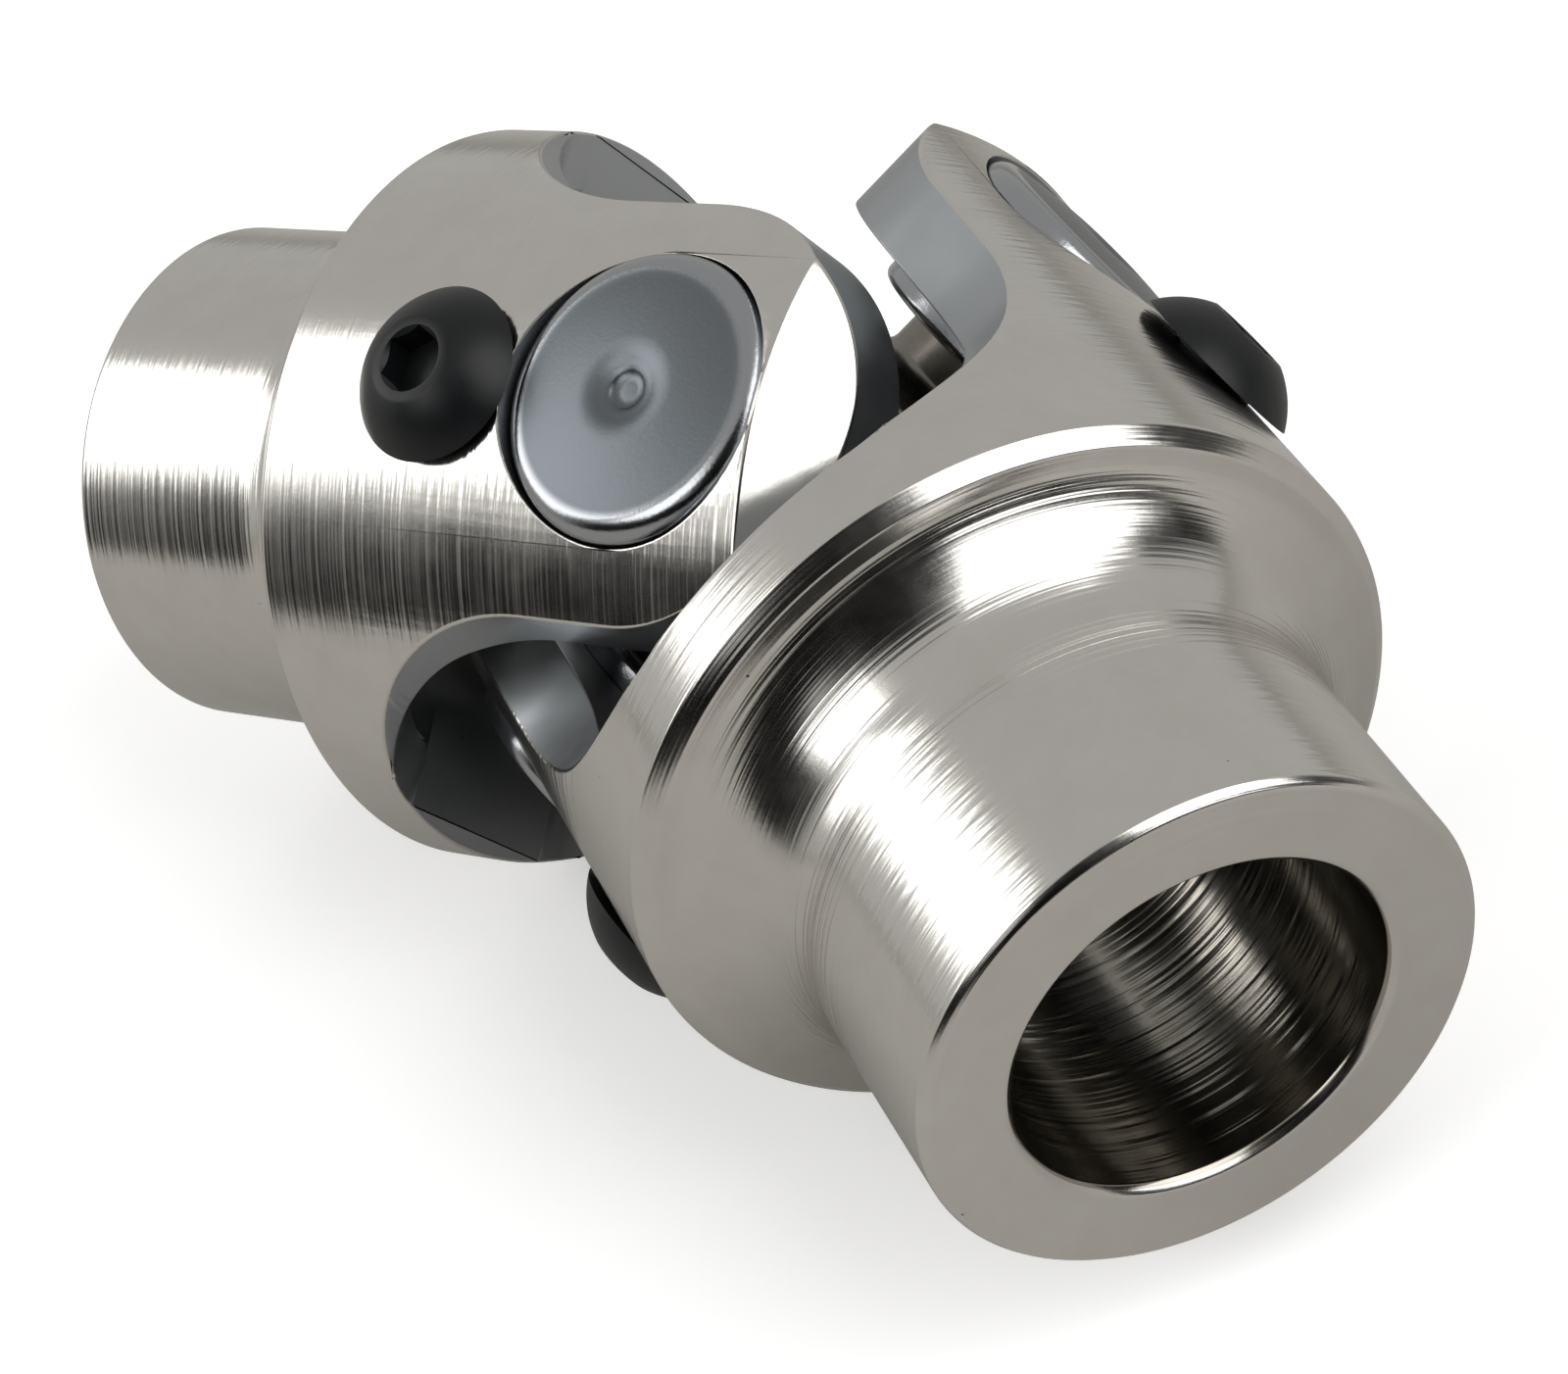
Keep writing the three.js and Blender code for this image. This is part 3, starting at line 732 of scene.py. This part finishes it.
rim_centre = (CUP_RADIUS - CUP_RIM_RADIUS, CUP_TOP - CUP_RIM_RADIUS)
domed = [
    (radius, CUP_TOP + CUP_CROWN * (1 - (radius / rim_centre[0]) ** 2))
    for radius in (2.8, 3.6, 4.4, 5.2, 5.8)
]
crown = CUP_TOP + CUP_CROWN
cup_outline = [
    (0, crown - DIMPLE_DEPTH + 0.08),
    (DIMPLE_RADIUS * 0.45, crown - DIMPLE_DEPTH + 0.03),
    (DIMPLE_RADIUS * 0.8, crown - DIMPLE_DEPTH + 0.04),
    (DIMPLE_RADIUS, crown - DIMPLE_RING_DEPTH - 0.08),
    (DIMPLE_RADIUS + 0.10, crown - DIMPLE_RING_DEPTH),
    (DIMPLE_RADIUS + 0.35, crown - DIMPLE_RING_DEPTH * 0.9),
    (DIMPLE_RING * 0.75, crown - DIMPLE_RING_DEPTH * 0.6),
    (DIMPLE_RING, crown - 0.07),
    *domed,
    *arc(rim_centre, CUP_RIM_RADIUS, 90, 0, 14),
    (CUP_RADIUS, CUP_MOUTH + CUP_MOUTH_ROUND),
    *arc((CUP_RADIUS - CUP_MOUTH_ROUND, CUP_MOUTH + CUP_MOUTH_ROUND), CUP_MOUTH_ROUND, 0, -90, 6)[1:],
    (RACE_RADIUS, CUP_MOUTH),
    (RACE_RADIUS, CUP_FLOOR),
    (0, CUP_FLOOR),
]
cup_shape = turned(cup_outline, CUP_SEGMENTS)
sides = (("a", 1), ("b", -1))
for end in seats:
    for label, side in sides:
        place = seats[end] @ on_cup_line(side)
        fit_piece(f"{end}_cup_{label}", cup_shape.copy(), place, pressed_steel, 50)
cup_shape.free()

# %% [markdown]
# ## The screws
# Each cup is held in by the edge of a button head beside it, which overlaps the cup's rim. The head
# is turned as part of a sphere, widened a little, with a hexagon socket sunk in its small flat top.

# %% Screws
SCREW_SEAT = 20.4
HEAD_RADIUS = 4.7
HEAD_HEIGHT = 2.65
DOME_RADIUS = 5.6
DOME_FROM = 31.5                 # degrees up from the sphere's middle
DOME_TO = 66
SHANK_RADIUS = 2.4
SCREW_TIP = 13.5
HEX_ACROSS = 3.1
HEX_DEPTH = 1.7
SCREW_TIP_CHAMFER = 0.4
HEX_MOUTH = 0.25                 # how far the socket's mouth is opened by its chamfer
HEAD_SEGMENTS = 96

dome = arc((0, SCREW_SEAT + HEAD_HEIGHT - DOME_RADIUS), DOME_RADIUS, DOME_TO, DOME_FROM, 20)
widen = HEAD_RADIUS / dome[-1][0]
screw_outline = [
    (0, dome[0][1]),
    *[(radius * widen, height) for radius, height in dome],
    (HEAD_RADIUS - 0.02, SCREW_SEAT),
    (SHANK_RADIUS, SCREW_SEAT),
    (SHANK_RADIUS, SCREW_TIP + SCREW_TIP_CHAMFER),
    (SHANK_RADIUS - SCREW_TIP_CHAMFER, SCREW_TIP),
    (0, SCREW_TIP),
]
socket_shape = bmesh.new()
hex_radius = HEX_ACROSS / math.sqrt(3)
bmesh.ops.create_cone(socket_shape, cap_ends=True, segments=6, radius1=hex_radius,
                      radius2=hex_radius, depth=2 * HEX_DEPTH,
                      matrix=Matrix.Translation((0, 0, dome[0][1])))
mouth_shape = bmesh.new()
bmesh.ops.create_cone(mouth_shape, cap_ends=True, segments=HEAD_SEGMENTS,
                      radius1=hex_radius - HEX_MOUTH, radius2=hex_radius + HEX_MOUTH,
                      depth=2 * HEX_MOUTH,
                      matrix=Matrix.Translation((0, 0, dome[0][1])))
screw_shape = milled(turned(screw_outline, HEAD_SEGMENTS),
                     ("DIFFERENCE", socket_shape), ("DIFFERENCE", mouth_shape))
for end in seats:
    for label, side in sides:
        place = seats[end] @ on_cup_line(side, SCREW_AT)
        fit_piece(f"{end}_cup_screw_{label}", screw_shape.copy(), place, black_oxide, 40)
screw_shape.free()

# %% [markdown]
# ## The cross
# The cross is one forging with four ground trunnions. One shaft with an arm at each end is turned
# and crossed with another, and each arm has a thick shoulder, which the seals run against, and a
# grease hole down its middle.

# %% Cross
TRUNNION_RADIUS = 4.8
TRUNNION_END = 18.1
SHOULDER_RADIUS = 6.6
SHOULDER_END = 8.6
GREASE_RADIUS = 1.4
GREASE_DEPTH = 9.0
TRUNNION_CHAMFER = 0.6
ROOT_ROUND = 0.6
SHOULDER_CHAMFER = 1.2
CROSS_EDGE_BREAK = 0.3
ARM_SEGMENTS = 96
arm_outline = [
    (0, TRUNNION_END - GREASE_DEPTH - GREASE_RADIUS / 2),
    (GREASE_RADIUS, TRUNNION_END - GREASE_DEPTH),
    (GREASE_RADIUS, TRUNNION_END),
    (TRUNNION_RADIUS - TRUNNION_CHAMFER, TRUNNION_END),
    (TRUNNION_RADIUS, TRUNNION_END - TRUNNION_CHAMFER),
    (TRUNNION_RADIUS, SHOULDER_END + ROOT_ROUND),
    (TRUNNION_RADIUS + ROOT_ROUND, SHOULDER_END),
    (SHOULDER_RADIUS, SHOULDER_END - SHOULDER_CHAMFER),
]
shaft_outline = arm_outline + [(radius, -along) for radius, along in reversed(arm_outline)]


def shaft(axis):
    """A shaft with a trunnion at each end, laid along X or Y."""
    bm = turned(shaft_outline, ARM_SEGMENTS)
    bmesh.ops.rotate(bm, verts=bm.verts, cent=(0, 0, 0),
                     matrix=Matrix.Rotation(math.pi / 2, 3, axis))
    return bm


cross_shape = milled(shaft("Y"), ("UNION", shaft("X")))
cross_shape = break_edges(cross_shape, CROSS_EDGE_BREAK, sharper_than=40)
far_line = Vector(joints["far_bend"]["axis"]).normalized()
near_line = Vector(joints["near_bend"]["axis"]).normalized()
cross_turn = Matrix((far_line, near_line, far_line.cross(near_line))).transposed().to_4x4()
cross_seat = Matrix.Translation(cross_centre) @ cross_turn @ Matrix.Scale(MM, 4)
fit_piece("cross", cross_shape, cross_seat, ground_steel)

# %% [markdown]
# ## Rollers, washers and seals
# The rollers are loose in the real bearing: twenty-two thin cylinders with crowned ends, side by
# side between the trunnion and the cup. One is turned and set round the circle. A washer keeps
# them in, and a rubber lip seal closes the cup's mouth.

# %% Rollers, washers and seals
ROLLER_RADIUS = 0.79
ROLLER_COUNT = 22
ROLLER_CIRCLE = 5.66
ROLLER_FROM = 13.9
ROLLER_TO = 18.0
roller_outline = [
    (0, ROLLER_FROM),
    (ROLLER_RADIUS - 0.2, ROLLER_FROM + 0.04),
    (ROLLER_RADIUS, ROLLER_FROM + 0.24),
    (ROLLER_RADIUS, ROLLER_TO - 0.24),
    (ROLLER_RADIUS - 0.2, ROLLER_TO - 0.04),
    (0, ROLLER_TO),
]


def roller_set():
    """All the rollers of one bearing."""
    bm = turned(roller_outline, 16)
    bmesh.ops.translate(bm, verts=bm.verts, vec=(ROLLER_CIRCLE, 0, 0))
    first = bm.verts[:] + bm.edges[:] + bm.faces[:]
    bmesh.ops.spin(bm, geom=first, axis=(0, 0, 1), cent=(0, 0, 0), use_duplicate=True,
                   angle=2 * math.pi * (ROLLER_COUNT - 1) / ROLLER_COUNT, steps=ROLLER_COUNT - 1)
    return bm


washer_outline = [(4.95, 13.25), (5.0, 13.2), (6.35, 13.2), (6.4, 13.25),
                  (6.4, 13.65), (6.35, 13.7), (5.0, 13.7), (4.95, 13.65)]
seal_outline = [(4.9, 11.6), (5.1, 11.6), (5.5, 11.85), (5.9, 11.7), (6.3, 11.7), (6.4, 11.8),
                (6.4, 13.0), (5.4, 13.0), (5.3, 12.6), (4.95, 12.1)]
for end in seats:
    for label, side in sides:
        place = seats[end] @ on_cup_line(side)
        fit_piece(f"{end}_needles_{label}", roller_set(), place, ground_steel)
        washer = turned(washer_outline, 96, closed=True)
        fit_piece(f"{end}_needle_washer_{label}", washer, place, ground_steel)
        seal = turned(seal_outline, 96, closed=True)
        fit_piece(f"{end}_seal_{label}", seal, place, nitrile, 60)
